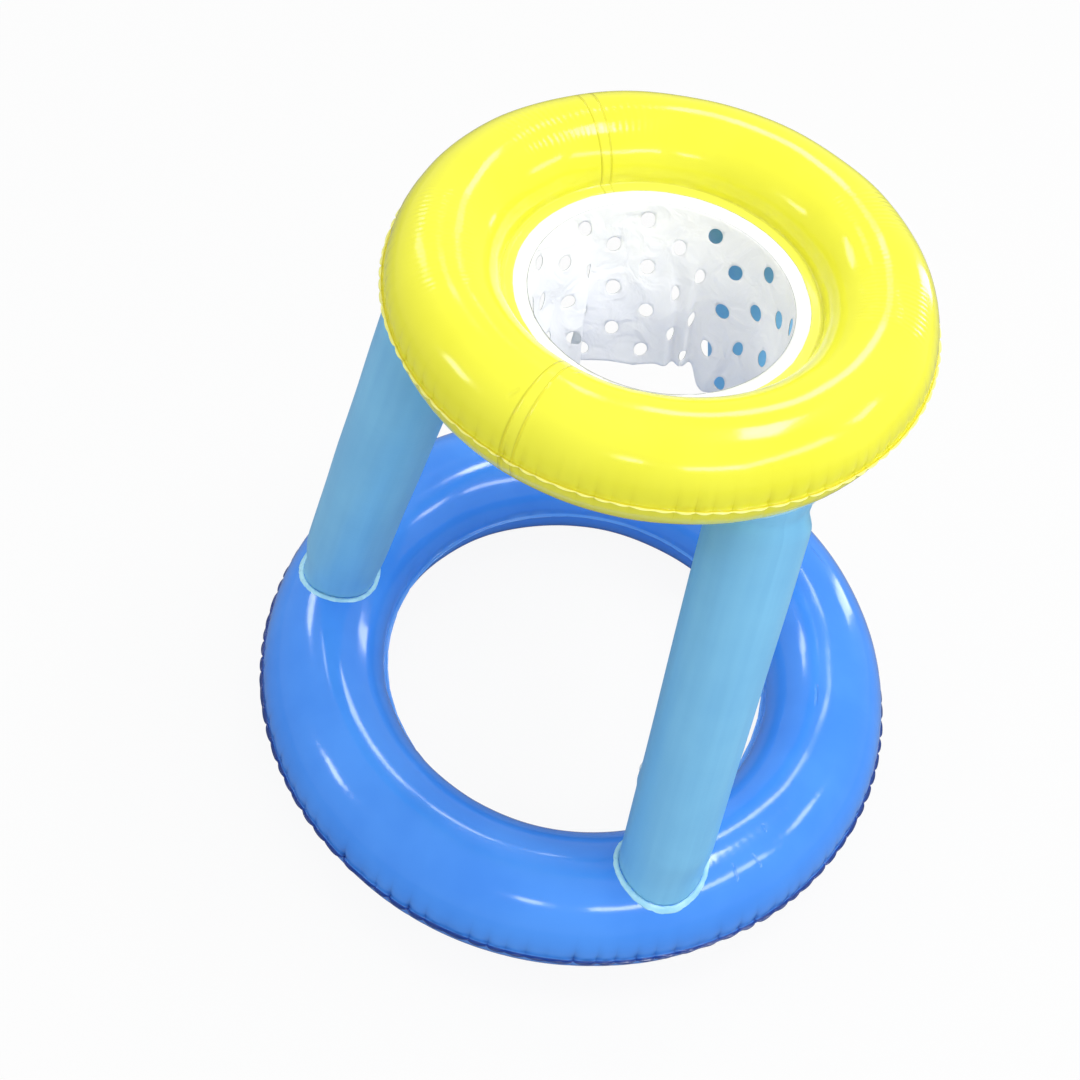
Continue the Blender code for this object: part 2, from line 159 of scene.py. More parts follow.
def soft_light(name, power, size, azimuth, elevation):
    """A flat lamp that faces the object: its power in watts, its width and height, and where it stands."""
    lamp = bpy.data.lights.new(name, "AREA")
    lamp.shape = "RECTANGLE"
    lamp.size, lamp.size_y = size
    lamp.energy = power
    item = bpy.data.objects.new(name, lamp)
    bpy.context.scene.collection.objects.link(item)
    way = Euler((0, radians(-elevation), radians(azimuth))).to_matrix() @ Vector((1, 0, 0))
    item.location = LAMP_TARGET + way * LAMP_DISTANCE
    item.rotation_euler = (-way).to_track_quat("-Z", "Y").to_euler()


soft_light("overhead", 12, (0.70, 0.35), 25, 69)
soft_light("back_lamp", 3, (0.30, 0.40), 89, 46)
soft_light("left_back_lamp", 1.2, (0.25, 0.25), 123, 51)
soft_light("left_lamp", 3, (0.25, 0.45), 149, 35)
soft_light("left_front_lamp", 3.5, (0.45, 0.25), -157, 31)
soft_light("front_lamp", 1.7, (0.25, 0.20), -84, 40)
soft_light("front_strip", 4, (0.60, 0.20), -54, 38)
soft_light("right_strip", 7.5, (1.30, 0.24), -26, 37)
soft_light("right_lamp", 2.4, (0.40, 0.24), 12, 36)
soft_light("right_back_panel", 4, (0.25, 0.80), 55, 5)
bpy.context.scene.view_settings.view_transform = "Standard"


# The base ring: two flat rings of glossy blue vinyl, welded together round the outside and round
# the hole, and blown up. The welds pucker, because a flat ring has too much edge for a round one.
BASE_RADIUS, BASE_TUBE, BASE_SEAM = 0.270, 0.0635, 0.06309
BASE_FLANGES = 0.0040, 0.0040       # width of the weld round the outside and round the hole
BASE_PUCKERS = 100, 50              # creases round each of them
BASE_PUCKER_DEPTHS = 0.0026, 0.0007
BASE_FLUTTER = 0.0005               # how far the outer weld's edge waves up and down
SKIN = 0.0004
SEAM_GAP = 0.00015                  # half the gap between two welded faces
SECTION_STEPS = 30
STEPS_PER_METRE = 4000              # steps round a ring for each metre of its radius
STEPS_DRAWN_TO_WELDS = 0.3          # how far the steps of a section crowd towards its two welds
FLANGE_STEP = 0.0012
OFF_THE_TUBE = 0.0001               # a point that lies further outside the tube is on a flange
UNEVENNESS = 0.0007
OUTER_SEED, INNER_SEED = 1.0, 9.0
OUTER_PUCKER_REACH, INNER_PUCKER_REACH = 0.011, 0.008
FLANGE_PULL_SHARE = 0.16            # of the outer weld's width, drawn in at a crease
VALVE_RIM, VALVE_RIM_TOP = 0.0068, 0.0024       # radius and height of the stem's rim, where the strap turns
FLAT_REACH, FLAT_BORDER, FLAT_DEPTH = 0.019, 0.008, 0.006        # the skin's flat place under a valve
HOLE_REACH, HOLE_LEAST, HOLE_MOST = 0.0076, 0.0065, 0.0092       # and the hole in it


def valve_frame(name):
    """Where a valve's bore leaves the skin: its centre and its three directions, from its two joints."""
    joints = {joint["name"]: joint for joint in frame["record"]["behaviour"]["joints"]}
    hinge = joints[name + "_plug_hinge"]
    out = Vector(joints[name + "_valve_push"]["axis"])
    side = -Vector(hinge["axis"])
    across = side.cross(out)
    return Vector(hinge["pos_m"]) + across * VALVE_RIM - out * VALVE_RIM_TOP, across, side, out


def flattened(point, valve):
    """A point of a skin, drawn flat where a valve's flange is welded to it."""
    centre, _, _, out = valve
    rise = (point - centre).dot(out)
    away = (point - centre - out * rise).length
    if away > FLAT_REACH or abs(rise) > FLAT_DEPTH:
        return point
    share = min(1, (FLAT_REACH - away) / FLAT_BORDER)
    return point - out * rise * share * share * (3 - 2 * share)


def bored(shape, valve):
    """Open the skin under a valve: the stem goes through the hole and the flange covers its edge."""
    centre = valve[0]
    inside = [face for face in shape.faces if (face.calc_center_median() - centre).length < HOLE_REACH]
    rim = {vert for face in inside for vert in face.verts}
    bmesh.ops.delete(shape, geom=inside, context="FACES")
    for vert in rim:
        if vert.is_valid:
            away = vert.co - centre
            vert.co = centre + away * (min(max(away.length, HOLE_LEAST), HOLE_MOST) / away.length)


def outline(shape, radius, tube, upper, flanges):
    """The half section of a ring as a chain of edges: both flanges and the half circle between them."""
    start = shape.verts.new((radius + tube, 0, 0))
    turn = -pi if upper else pi
    bmesh.ops.spin(shape, geom=[start], cent=(radius, 0, 0), axis=(0, 1, 0), angle=turn,
                   steps=SECTION_STEPS)
    ends = [v for v in shape.verts if len(v.link_edges) == 1]
    for end in ends:
        outwards = 1 if end.co.x > radius else -1
        width = flanges[0] if outwards > 0 else flanges[1]
        steps = max(3, round(width / FLANGE_STEP))
        for _ in range(steps):
            end = bmesh.ops.extrude_vert_indiv(shape, verts=[end])["verts"][0]
            end.co.x += outwards * width / steps


def wander(turn, scale, seed):
    """Soft noise round a circle, from about -1 to 1. It closes on itself."""
    return noise.noise((scale * cos(turn), scale * sin(turn), seed))


def uneven(turn, seed):
    """How far a weld's creases are shifted at a place round it, and how deep they are there."""
    return 1.6 * wander(turn, 3, seed) + 0.8 * wander(turn, 9, seed), 0.75 + 0.9 * wander(turn, 30, seed + 5)


def pucker(turn, puckers, seed):
    """How deep a weld's edge is drawn in: 0 on the pillows, 1 in the narrow creases between them."""
    shift, depth = uneven(turn, seed)
    return depth * (1 - sqrt(abs(sin(puckers * turn / 2 + shift))))


def fades(distance, reach):
    """1 at a weld, and next to nothing from about twice the reach."""
    return exp(-(distance / reach) ** 1.3)


def blown_ring(name, ring, upper, flanges, puckers, depths, flutter, material, valve):
    """One skin of an inflated ring, with its puckered welds and the flat place of its valve."""
    radius, tube, seam = ring
    shape = bmesh.new()
    outline(shape, radius, tube, upper, flanges)
    bmesh.ops.spin(shape, geom=shape.verts[:] + shape.edges[:], cent=(0, 0, 0), axis=(0, 0, 1),
                   angle=2 * pi, steps=round(radius * STEPS_PER_METRE), use_merge=True)
    bmesh.ops.recalc_face_normals(shape, faces=shape.faces)
    top = max(shape.faces, key=lambda face: abs(face.calc_center_median().z))
    if (top.normal.z > 0) != upper:
        bmesh.ops.reverse_faces(shape, faces=shape.faces)
    side = 1 if upper else -1
    shifts = shape.verts.layers.float.new("shift")      # the material draws the creases' bumps and their painted shade from these two
    crease_depths = shape.verts.layers.float.new("depth")
    for vert in shape.verts:
        x, y, z = vert.co
        turn, reach = atan2(y, x), hypot(x, y)
        section = atan2(abs(z), reach - radius)
        section -= STEPS_DRAWN_TO_WELDS * sin(2 * section)
        outer = pucker(turn, puckers[0], OUTER_SEED)
        inner = pucker(turn, puckers[1], INNER_SEED)
        near = fades(tube * section, OUTER_PUCKER_REACH)
        vert[shifts], depth = uneven(turn, OUTER_SEED)
        vert[crease_depths] = depth * near
        sag = UNEVENNESS * wander(turn, 4, section + side)
        sag += depths[0] * outer * near
        sag += depths[1] * inner * fades(tube * (pi - section), INNER_PUCKER_REACH)
        size = tube - sag
        past = max(0, reach - radius - tube - OFF_THE_TUBE) / flanges[0]
        short = max(0, radius - tube - reach - OFF_THE_TUBE) / flanges[1]
        if past:
            reach = radius + size + flanges[0] * past * (1 - FLANGE_PULL_SHARE * outer)
            z = side * SEAM_GAP + past * flutter * sin(puckers[0] * turn + 2 * past)
        elif short:
            reach = radius - size - flanges[1] * short
            z = side * SEAM_GAP
        else:
            reach = radius + size * cos(section)
            z = side * (SEAM_GAP + SKIN + size * sin(section))
        vert.co = (reach * cos(turn), reach * sin(turn), seam + z)
        if valve:
            vert.co = flattened(vert.co, valve)
    if valve:
        bored(shape, valve)
    return piece(name, shape, material, SKIN)


def piece(name, shape, material, wall=0):
    """The object of a finished bmesh, shaded smooth, with its sheet's thickness laid inwards."""
    mesh = bpy.data.meshes.new(name)
    shape.to_mesh(mesh)
    shape.free()
    mesh.shade_smooth()
    mesh.materials.append(material)
    item = bpy.data.objects.new(name, mesh)
    bpy.context.scene.collection.objects.link(item)
    if wall:
        solid = item.modifiers.new("wall", "SOLIDIFY")
        solid.thickness = wall
        solid.offset = -1
    return item


def stands_for(item, body, slot, *nodes):
    """Put an object on a body in the place of the CAD's nodes. The slot argument is not used."""
    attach(item, body)
    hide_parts(*nodes)


def ring_place(wire, ring):
    """Wires for a point's turn round a ring and round its tube, and how far it lies outside and inside."""
    radius, tube, seam = ring
    place = wire.node("ShaderNodeTexCoord", output=3)
    x, y, z = [place.node("ShaderNodeSeparateXYZ", inputs={0: place}, output=k) for k in range(3)]
    reach = (x * x + y * y).math("SQRT") - radius
    return place, y.math("ARCTAN2", x), (z - seam).math("ARCTAN2", reach), reach - tube, (-1) * reach - tube


def crease(turn, section, ring, at, length, slant):
    """1 along a short sharp fold in the vinyl, laid at a slant to the section."""
    radius, tube, _ = ring
    along = (turn - radians(at[0])) * (radius + tube * cos(radians(at[1])))
    up = (section - radians(at[1])) * tube
    lengthwise = along * sin(radians(slant)) + up * cos(radians(slant))
    across = along * cos(radians(slant)) - up * sin(radians(slant))
    ends = lengthwise.math("ABSOLUTE").rise(length * 0.2, length * 0.5)
    return (1 - ends) * (1 - across.math("ABSOLUTE").rise(0, CREASE_WIDTH))


WAVE_HEIGHT, GRAIN_HEIGHT = 0.0011, 0.000012
PUCKER_HEIGHT, CREASE_HEIGHT, CREASE_WIDTH = 0.0010, 0.0007, 0.0022
LAP_HEIGHT, LAP_EDGE_HEIGHT, LAP_EDGE_IN, LAP_EDGE_OUT = 0.00040, 0.00090, 0.0004, 0.0010
# How far a lap takes the doubled colour, and how far its edges take the painted crease shade.
LAP_TINT, LAP_EDGE_SHADE = 0.12, 0.55
# The groove's bump height, and how far its painted shade darkens the colour.
GROOVE_HEIGHT, GROOVE_SHADE_SHARE = 0.00015, 0.2
WELD_EDGE, RIM_EDGE = (-0.0004, 0.0006), (0.0014, 0.0020)      # past the tube, where each begins


def ring_vinyl(name, ring, colours, gloss, puckers, pucker_shade, strain_height, laps, gathers, creases):
    """Glossy vinyl with soft waves, narrow laps where its ends are joined, gathers and creases.

    A lap is its azimuth and half its width. A patch of gathers is where it starts and ends round the
    ring and round the tube, how many there would be in a whole turn, and their height. A crease is its
    place round the ring and round the tube, its length and its slant. Angles are in degrees.
    """
    deep, pale, doubled, rim, painted_groove_shade, painted_crease_shade = colours
    material, wire = new_tree(name)
    place, turn, section, outer, inner = ring_place(wire, ring)
    cloud = place.node("ShaderNodeTexNoise", inputs={"Vector": place, "Scale": 9, "Detail": 3})
    waves = place.node("ShaderNodeTexNoise", inputs={"Vector": place, "Scale": 18, "Detail": 1.5})
    grain = place.node("ShaderNodeTexNoise", inputs={"Vector": place, "Scale": 420, "Detail": 2})
    streaks = place.node("ShaderNodeTexNoise", inputs={"Vector": place, "Scale": 6, "Detail": 1})
    strained = streaks.rise(0.50, 0.68) * section.between(0.8, 2.2, 0.2)
    strain = (turn * 190 + waves * 15).math("SINE") * strained
    shift, depth = [place.node("ShaderNodeAttribute", {"attribute_name": layer}, output=2)
                    for layer in ("shift", "depth")]
    puckered = depth * (1 - (turn * (puckers / 2) + shift).math("SINE").math("ABSOLUTE").math("SQRT"))
    bump = waves * WAVE_HEIGHT + grain * GRAIN_HEIGHT + strain * strain_height - puckered * PUCKER_HEIGHT
    colour = cloud.rise(0.3, 0.7).blend(deep, pale)
    for angle, width in laps:
        away = ((turn - radians(angle)) * 0.5).math("SINE").math("ABSOLUTE") * (2 * ring[0])
        lap = 1 - away.rise(width - 0.0004, width + 0.0004)
        edges = away.between(width - LAP_EDGE_IN, width + LAP_EDGE_OUT, 0.0007)
        bump = bump + lap * LAP_HEIGHT + edges * LAP_EDGE_HEIGHT
        colour = (lap * LAP_TINT).blend(colour, doubled)
        # Painted shade along the lap's two edges.
        colour = (edges * LAP_EDGE_SHADE).blend(colour, painted_crease_shade)
    for low, high, lowest, highest, count, height in gathers:
        here = turn.between(radians(low), radians(high), 0.06)
        here = here * section.between(radians(lowest), radians(highest), 0.15) * cloud.rise(0.40, 0.58)
        bump = bump + (turn * count + waves * 13).math("SINE") * here * height
    for at, length, slant in creases:
        bump = bump - crease(turn, section, ring, at, length, slant) * CREASE_HEIGHT
    # Painted shade in the creases of the puckered outer weld.
    colour = (puckered * pucker_shade).blend(colour, painted_crease_shade)
    # Painted shade in the crease where the tube turns into its outer weld.
    colour = outer.rise(*WELD_EDGE).blend(colour, painted_crease_shade)
    # The flange takes the rim colour: on the blue ring its dark doubled vinyl, on the yellow ring a painted
    # highlight where the flange is lit.
    colour = outer.rise(*RIM_EDGE).blend(colour, rim)
    colour = inner.rise(*WELD_EDGE).blend(colour, doubled)
    groove = inner.between(-0.0003, 0.0003, 0.0004) + inner.between(0.0034, 0.0038, 0.0003) * 0.4
    bump = bump - groove * GROOVE_HEIGHT
    # Painted shade in the groove at the inner weld, and fainter in a second groove on its flange.
    colour = (groove * GROOVE_SHADE_SHARE).blend(colour, painted_groove_shade)
    normal = bump.node("ShaderNodeBump", inputs={"Strength": 0.9, "Distance": 1, "Height": bump})
    rough = grain * 0.06 + 0.12 + outer.rise(0, 0.0006) * 0.10
    shader = wire.node("ShaderNodeBsdfPrincipled", inputs={
        "Base Color": colour, "Roughness": rough, "Normal": normal, "IOR": 1.5, "Specular IOR Level": gloss,
        "Coat Weight": gloss * 0.7, "Coat Roughness": 0.06})
    return to_surface(material, shader)


BASE_RING = BASE_RADIUS, BASE_TUBE, BASE_SEAM
# Two tones, the doubled vinyl, the dark doubled rim, painted shade in the groove, and painted shade in
# creases and weld edges.
BASE_COLOURS = ((0.046, 0.255, 0.860, 1), (0.066, 0.300, 0.920, 1), (0.120, 0.370, 0.900, 1),
                (0.008, 0.040, 0.200, 1), (0.015, 0.080, 0.380, 1), (0.008, 0.050, 0.300, 1))
BASE_GATHERS = ((-109, -94, 48, 68, 150, 0.00020),)
BASE_CREASES = (((-45.7, 64), 0.020, 8), ((-40.7, 64), 0.018, -10), ((-35.7, 83), 0.010, 20),
                ((2, 107), 0.033, 84), ((41, 68), 0.040, 80))
base_vinyl = ring_vinyl("glossy_blue_vinyl", BASE_RING, BASE_COLOURS, gloss=0.5, puckers=BASE_PUCKERS[0],
                        pucker_shade=0.9, strain_height=0.00002, laps=(), gathers=BASE_GATHERS,
                        creases=BASE_CREASES)
for half, valve in (("upper", valve_frame("base")), ("lower", None)):
    skin = blown_ring("blue_ring_" + half, BASE_RING, half == "upper", BASE_FLANGES, BASE_PUCKERS,
                      BASE_PUCKER_DEPTHS, BASE_FLUTTER, base_vinyl, valve)
    stands_for(skin, "inflated_body", "base_vinyl", "base_ring_" + half + "_skin")


# The hoop ring: the same make in yellow vinyl, with a wide flat weld round its mouth that also
# holds the net's band. Its outer weld is a narrow wavy bead.
HOOP_RADIUS, HOOP_TUBE, HOOP_SEAM = 0.176, 0.046, 0.620
HOOP_RING = HOOP_RADIUS, HOOP_TUBE, HOOP_SEAM
HOOP_FLANGES = 0.0035, 0.0100
HOOP_PUCKERS = 96, 40
HOOP_PUCKER_DEPTHS = 0.0016, 0.0003
HOOP_FLUTTER = 0.0004
# Two tones, the doubled vinyl, a painted highlight on the lit rim, painted shade in the groove, and painted
# shade in creases and weld edges.
HOOP_COLOURS = ((0.810, 0.792, 0.042, 1), (0.840, 0.827, 0.055, 1), (0.890, 0.880, 0.110, 1),
                (0.930, 0.910, 0.260, 1), (0.560, 0.520, 0.060, 1), (0.720, 0.640, 0.020, 1))
HOOP_LAPS = (-108.2, 0.0041), (124.9, 0.0053)
HOOP_GATHERS = ((-6, 45, 55, 122, 221, 0.00026), (-105, -68, -5, 35, 130, 0.00008),
                (-179, -146, 55, 115, 230, 0.00014), (104, 152, 70, 130, 190, 0.00014))
HOOP_CREASES = ((-104, 120), 0.012, 12), ((-112, 60), 0.014, 20)
hoop_vinyl = ring_vinyl("glossy_yellow_vinyl", HOOP_RING, HOOP_COLOURS, gloss=0.3, puckers=HOOP_PUCKERS[0],
                        pucker_shade=0.35, strain_height=0.00003, laps=HOOP_LAPS, gathers=HOOP_GATHERS,
                        creases=HOOP_CREASES)
for half, valve in (("upper", None), ("lower", valve_frame("hoop"))):
    skin = blown_ring("yellow_ring_" + half, HOOP_RING, half == "upper", HOOP_FLANGES, HOOP_PUCKERS,
                      HOOP_PUCKER_DEPTHS, HOOP_FLUTTER, hoop_vinyl, valve)
    stands_for(skin, "inflated_body", "hoop_vinyl", "hoop_ring_" + half + "_skin")


# The columns: three sleeves of satin light-blue vinyl, blown up and welded at both ends to round
# discs that lie on the rings. They lean inwards and turn square to the hoop ring just under it.
COLUMN_TUBE, HEAD_TUBE = 0.0415, 0.0365
TWIST = Matrix.Rotation(radians(11.9), 3, "Z")      # the hoop has turned this far against the base
FOOT_OFFSET = 0.0118                                # the feet stand this far outside the tube's middle
HEAD_TILT = radians(5)
FOOT_CENTRE = Vector((BASE_RADIUS + FOOT_OFFSET, 0, BASE_SEAM + SEAM_GAP + SKIN))
HEAD_CENTRE = TWIST @ Vector((HOOP_RADIUS, 0, HOOP_SEAM - SEAM_GAP - SKIN))
HEAD_OUT = TWIST @ Vector((sin(HEAD_TILT), 0, -cos(HEAD_TILT)))
ELBOW_REACH = 0.018
FOOT_INSET, FOOT_WIDTH_SHARE = 0.0026, 0.91         # a foot is drawn inwards and narrowed across the ring
FOOT_FLARE = 0.050                                  # way from the ring to where the sleeve has its full width
SLEEVE_LIFT = 0.0004                                # a sleeve's ends stand on the discs, off the rings
GATHERS, GATHER_DEPTH = 26, 0.0006                  # round each end of a sleeve
FOOT_GATHER_REACH, HEAD_GATHER_REACH = 0.010, 0.008
SLEEVE_UNEVENNESS = 0.0005
DENT_TURN, DENT_DEPTH, DENT_BELOW_HEAD, DENT_REACH = radians(62), 0.0045, 0.020, 0.009
AZIMUTHS = {"left": radians(180), "front": radians(-60), "rear": radians(60)}
COLUMN_SIDES, COLUMN_ROWS = 128, 150
head_seat = HEAD_CENTRE + HEAD_OUT * HOOP_TUBE
elbow = head_seat + HEAD_OUT * ELBOW_REACH
lean = (elbow - FOOT_CENTRE).normalized()
straight = (elbow - FOOT_CENTRE).length - ELBOW_REACH


def axes_round(along):
    """Two directions square to a sleeve's axis and to each other; the first points outwards."""
    across = Vector((0, 1, 0)).cross(along).normalized()
    return across, along.cross(across)


def on_sleeve(turn, way):
    """A point of a column's sleeve: a turn round it, and a way along its middle line from the foot."""
    past = min(1, max(0, (way - straight) / (2 * ELBOW_REACH)))
    start = FOOT_CENTRE + lean * min(way, straight)
    centre = start * (1 - past) ** 2 + elbow * 2 * past * (1 - past) + head_seat * past ** 2
    centre -= HEAD_OUT * max(0, way - straight - 2 * ELBOW_REACH)
    along = (lean * (1 - past) - HEAD_OUT * past).normalized()
    radius = COLUMN_TUBE + (HEAD_TUBE - COLUMN_TUBE) * past ** 4
    across, side = axes_round(along)
    flare = min(1, max(0, (way - BASE_TUBE) / FOOT_FLARE))
    narrow = 1 - flare * flare * (3 - 2 * flare)
    out = radius * cos(turn) * (1 - (1 - FOOT_WIDTH_SHARE) * narrow) - FOOT_INSET * narrow
    return centre + across * out + side * radius * sin(turn)


def meets_ring(point_at, inside, outside, ring, lift):
    """How far along a line of points, from one inside a ring's tube to one outside, it is a lift above it."""
    radius, tube, seam = ring
    for _ in range(30):
        middle = (inside + outside) / 2
        point = point_at(middle)
        if hypot(hypot(point.x, point.y) - radius, point.z - seam) < tube + lift:
            inside = middle
        else:
            outside = middle
    return outside


shape = bmesh.new()
turns = shape.verts.layers.float.new("turn")
ways = shape.verts.layers.float.new("way")
uv = shape.loops.layers.uv.new("sleeve")
edge = bmesh.ops.create_circle(shape, segments=COLUMN_SIDES, radius=1)["verts"]
top = straight + 2 * ELBOW_REACH + HOOP_TUBE
feet = []
heads = []
for k, vert in enumerate(edge):
    vert[turns] = (k + 0.5) / COLUMN_SIDES
    turn = 2 * pi * vert[turns]
    feet.append(meets_ring(lambda way: on_sleeve(turn, way), 0, 0.1, BASE_RING, SLEEVE_LIFT))
    heads.append(meets_ring(lambda way: on_sleeve(turn, way), top, straight, HOOP_RING, SLEEVE_LIFT))
rim = shape.edges[:]
for row in range(COLUMN_ROWS):
    rim = [item for item in bmesh.ops.extrude_edge_only(shape, edges=rim)["geom"]
           if isinstance(item, bmesh.types.BMEdge)]
    for vert in {vert for item in rim for vert in item.verts}:
        vert[ways] = (row + 1) / COLUMN_ROWS
for vert in shape.verts:
    k = round(vert[turns] * COLUMN_SIDES - 0.5)
    turn = 2 * pi * vert[turns]
    way = feet[k] + (heads[k] - feet[k]) * vert[ways]
    point = on_sleeve(turn, way)
    axis = (on_sleeve(turn + pi, way) - point).normalized()
    ends = exp(-(way - feet[k]) / FOOT_GATHER_REACH) + exp(-(heads[k] - way) / HEAD_GATHER_REACH)
    gather = GATHER_DEPTH * ends * (1 - sqrt(abs(sin(GATHERS * turn / 2 + 2 * wander(turn, 1, 3)))))
    soft = SLEEVE_UNEVENNESS * wander(turn, 3, 12 * way)
    dent = DENT_DEPTH * max(0, cos(turn - DENT_TURN)) ** 6
    dent *= exp(-((heads[k] - way - DENT_BELOW_HEAD) / DENT_REACH) ** 2)
    vert.co = point + axis * (gather + soft + dent)
bmesh.ops.recalc_face_normals(shape, faces=shape.faces)
for face in shape.faces:
    across = [loop.vert[turns] for loop in face.loops]
    for loop, turn in zip(face.loops, across):
        turn += 1 if max(across) - turn > 0.5 else 0
        loop[uv].uv = (turn * 2 * pi * COLUMN_TUBE, loop.vert[ways] * straight)

column_vinyl, wire = new_tree("satin_light_blue_vinyl")
place = wire.node("ShaderNodeUVMap", {"uv_map": "sleeve"})
object_place = wire.node("ShaderNodeTexCoord", output=3)
stretched = wire.node("ShaderNodeMapping", inputs={"Vector": place, "Scale": (26, 520, 1)})
lengthwise = wire.node("ShaderNodeMapping", inputs={"Vector": place, "Scale": (70, 3.5, 1)})
patches = wire.node("ShaderNodeTexNoise", inputs={"Vector": object_place, "Scale": 9, "Detail": 1})
crosswise = wire.node("ShaderNodeTexNoise", inputs={"Vector": stretched, "Scale": 1, "Detail": 2})
streaks = wire.node("ShaderNodeTexNoise", inputs={"Vector": lengthwise, "Scale": 1, "Detail": 2})
cloud = wire.node("ShaderNodeTexNoise", inputs={"Vector": object_place, "Scale": 14, "Detail": 3})
bump = crosswise * patches.rise(0.42, 0.60) * 0.00024 + streaks * 0.00035 + cloud * 0.0008
normal = wire.node("ShaderNodeBump", inputs={"Strength": 0.8, "Distance": 1, "Height": bump})
mottled = (streaks * 0.5 + cloud * 0.5).rise(0.3, 0.7)
to_surface(column_vinyl, wire.node("ShaderNodeBsdfPrincipled", inputs={
    "Base Color": mottled.blend((0.175, 0.500, 0.810, 1), (0.210, 0.565, 0.860, 1)),
    "Roughness": crosswise * 0.10 + 0.33, "IOR": 1.5, "Normal": normal}))
for side, azimuth in AZIMUTHS.items():
    copy = shape.copy()
    bmesh.ops.rotate(copy, cent=(0, 0, 0), matrix=Matrix.Rotation(azimuth, 3, "Z"), verts=copy.verts)
    valve = valve_frame(side)
    for vert in copy.verts:
        vert.co = flattened(vert.co, valve)
    bored(copy, valve)
    stands_for(piece("column_" + side, copy, column_vinyl, SKIN), "inflated_body", "column_vinyl",
               "column_sleeve_" + side)
shape.free()


# The weld lips: the rims of the discs to which the columns are welded. They stand out round each
# foot and head as a pale rounded bead of doubled vinyl.
FOOT_BEAD, HEAD_BEAD = 0.0055, 0.0030       # width of the bead outside the sleeve
BEAD_HEIGHT, BEAD_STEPS = 0.0013, 10
DISC_HEIGHT, BEAD_BASE = 0.0002, 0.0003
LIP_STEPS = 96


def cloudy_vinyl(name, scale, detail, strength, height, colours, roughness):
    """Plain vinyl whose colour, roughness and bumps all follow the same soft clouds."""
    material, wire = new_tree(name)
    place = wire.node("ShaderNodeTexCoord", output=3)
    cloud = wire.node("ShaderNodeTexNoise", inputs={"Vector": place, "Scale": scale, "Detail": detail})
    bump = wire.node("ShaderNodeBump", inputs={"Strength": strength, "Distance": 1, "Height": cloud * height})
    low, high = roughness
    return to_surface(material, wire.node("ShaderNodeBsdfPrincipled", inputs={
        "Base Color": cloud.rise(0.35, 0.65).blend(*colours),
        "Roughness": cloud * (high - low) + low, "IOR": 1.5, "Normal": bump}))


def turned(shape, chain, steps, closed=False):
    """Turn a chain of (radius, height) points once round Z."""
    verts = [shape.verts.new((reach, 0, rise)) for reach, rise in chain]
    edges = [shape.edges.new(pair) for pair in zip(verts, verts[1:])]
    if closed:
        edges.append(shape.edges.new((verts[-1], verts[0])))
    bmesh.ops.spin(shape, geom=verts + edges, cent=(0, 0, 0), axis=(0, 0, 1), angle=2 * pi, steps=steps,
                   use_merge=True)
    bmesh.ops.remove_doubles(shape, verts=shape.verts, dist=0.000005)


def weld_lip(name, ring, seat, bead, squeeze, azimuth, node):
    """A disc on a ring's skin, flat under the sleeve, with a rounded bead outside it."""
    radius, tube, _ = ring
    start, along = seat
    inner, width = bead
    narrow, inset = squeeze
    across, beside = axes_round(along)
    chain = [(reach, DISC_HEIGHT) for reach in (0, inner * 0.5, inner - 0.003)]
    for k in range(BEAD_STEPS + 1):
        out = k / BEAD_STEPS
        chain.append((inner + width * out, BEAD_BASE + BEAD_HEIGHT * sin(pi * out ** 0.8)))
    shape = bmesh.new()
    turned(shape, chain, LIP_STEPS)
    for vert in shape.verts:
        rise = vert.co.z
        turn, reach = atan2(vert.co.y, vert.co.x), hypot(vert.co.x, vert.co.y)
        if reach > inner:
            reach += 0.0004 * wander(turn, 6, radius)
            rise *= 0.85 + 0.6 * wander(turn, 9, tube)
        base = start + across * (reach * cos(turn) * narrow - inset) + beside * reach * sin(turn)
        vert.co = base + along * meets_ring(lambda step: base + along * step, 0, 0.12, ring, rise)
    bmesh.ops.recalc_face_normals(shape, faces=shape.faces)
    bmesh.ops.rotate(shape, cent=(0, 0, 0), matrix=Matrix.Rotation(azimuth, 3, "Z"), verts=shape.verts)
    stands_for(piece(name, shape, lip_vinyl, SKIN), "inflated_body", "column_vinyl", node)


lip_vinyl = cloudy_vinyl("pale_weld_vinyl", scale=60, detail=2, strength=0.6, height=0.0008,
                         colours=((0.330, 0.680, 0.880, 1), (0.470, 0.820, 0.940, 1)), roughness=(0.22, 0.32))
for side, azimuth in AZIMUTHS.items():
    weld_lip("foot_lip_" + side, BASE_RING, (FOOT_CENTRE, lean), (COLUMN_TUBE, FOOT_BEAD),
             (FOOT_WIDTH_SHARE, FOOT_INSET), azimuth, "foot_disc_" + side)
    weld_lip("head_lip_" + side, HOOP_RING, (HEAD_CENTRE, HEAD_OUT), (HEAD_TUBE, HEAD_BEAD), (1, 0),
             azimuth, "head_disc_" + side)


# The net's band: a flat white strip welded under the hoop's inner flange. It slopes down a little
# into the mouth and its turned-down edge carries the net.
MOUTH_RADIUS, BAND_RADIUS = 0.120, 0.109
BAND_TOP = HOOP_SEAM - 0.00085              # under the lower skin, with a weld's gap between them
BAND_OUTER = HOOP_RADIUS - HOOP_TUBE - 0.0008
BAND_SLOPE = MOUTH_RADIUS - BAND_RADIUS     # how far it reaches into the mouth
BAND_FALL, BAND_EDGE = 0.0020, 0.0040       # how far it falls on the way, and how far its edge hangs down
BAND_WAVE, BAND_SAG = 0.0005, 0.0006
BAND_STEPS, BAND_THICKNESS = 360, 0.0008


def thickened(item, thickness):
    """Give a sheet its thickness, half to each side."""
    solid = item.modifiers.new("wall", "SOLIDIFY")
    solid.thickness = thickness
    solid.offset = 0
    return solid


